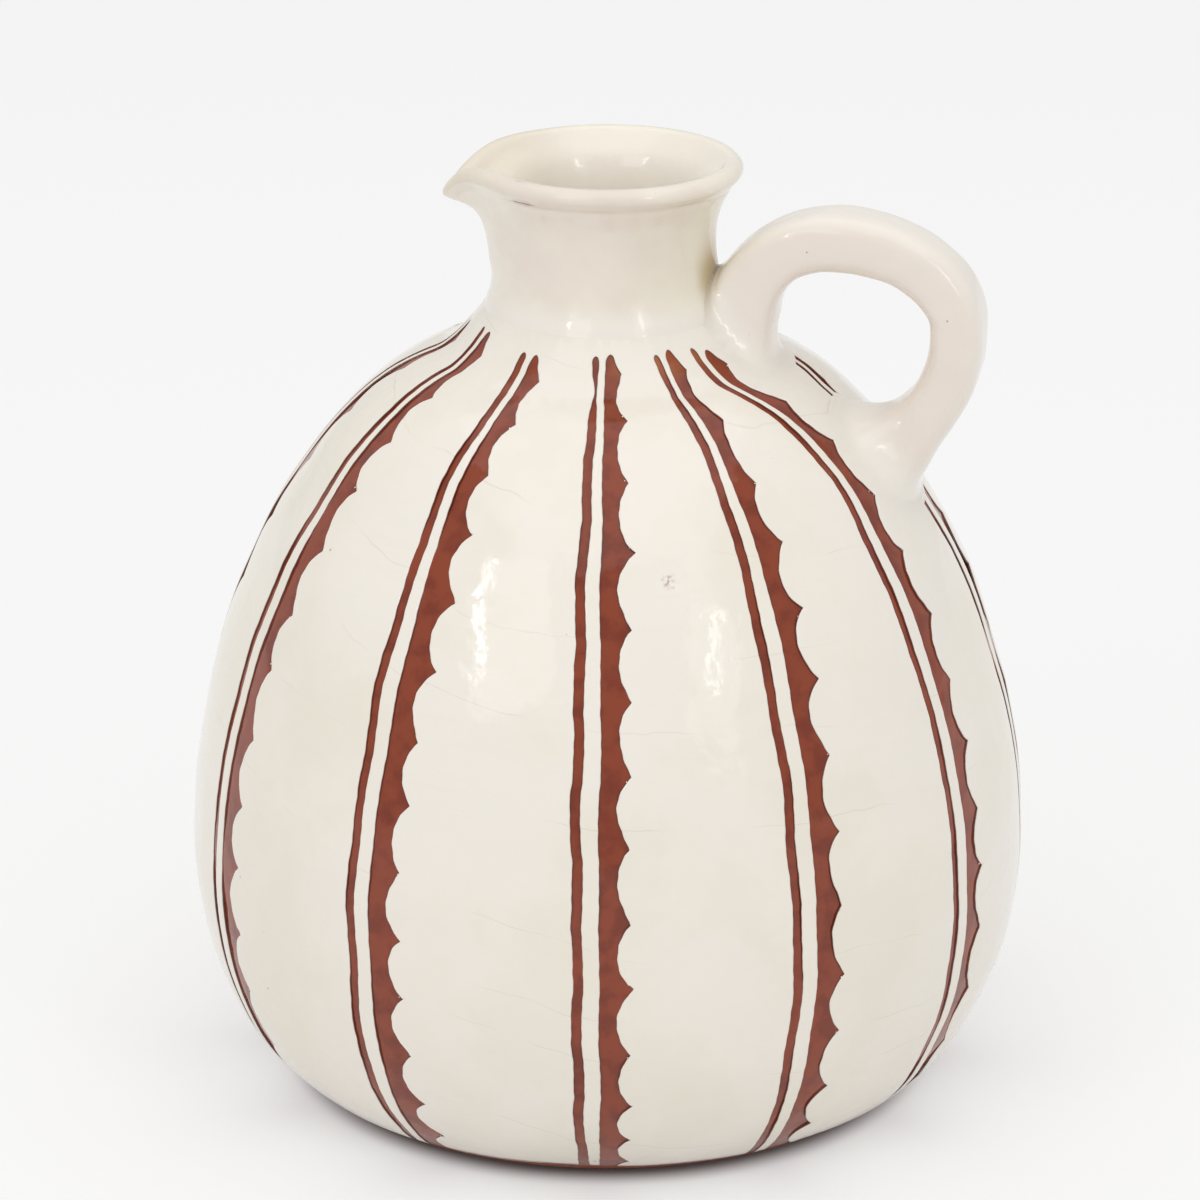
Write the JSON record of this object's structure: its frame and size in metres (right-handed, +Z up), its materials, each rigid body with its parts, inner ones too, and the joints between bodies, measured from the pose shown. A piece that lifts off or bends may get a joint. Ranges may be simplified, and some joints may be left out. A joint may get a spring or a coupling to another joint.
{
  "type": "stoneware pitcher",
  "caption": "Round-bellied glazed stoneware pitcher with a short spouted neck, a one-finger loop handle and scalloped stripes cut through pale slip to red-brown clay.",
  "frame": {"origin": "centre of the round foot, on the plane that the pitcher stands on", "axes": "+Z up along the vessel's axis, +X towards the handle, -X towards the spout"},
  "size_m": [0.1772, 0.1771, 0.2],
  "materials": {
    "clay_body": "red-brown stoneware clay under clear glaze",
    "slip_coat": "cream slip under glossy clear glaze",
    "neck_glaze": "slightly pinker cream glaze, glossy",
    "handle_glaze": "slightly pinker cream glaze, glossy"
  },
  "bodies": {
    "root": {"belly": "clay_body", "neck": "neck_glaze", "handle": "handle_glaze", "slip_collar": "slip_coat", "slip_rib_01": "slip_coat", "slip_panel_01": "slip_coat", "slip_rib_02": "slip_coat", "slip_panel_02": "slip_coat", "slip_rib_03": "slip_coat", "slip_panel_03": "slip_coat", "slip_rib_04": "slip_coat", "slip_panel_04": "slip_coat", "slip_rib_05": "slip_coat", "slip_panel_05": "slip_coat", "slip_rib_06": "slip_coat", "slip_panel_06": "slip_coat", "slip_rib_07": "slip_coat", "slip_panel_07": "slip_coat", "slip_rib_08": "slip_coat", "slip_panel_08": "slip_coat", "slip_rib_09": "slip_coat", "slip_panel_09": "slip_coat", "slip_rib_10": "slip_coat", "slip_panel_10": "slip_coat", "slip_rib_11": "slip_coat", "slip_panel_11": "slip_coat", "slip_rib_12": "slip_coat", "slip_panel_12": "slip_coat"}
  },
  "joints": []
}
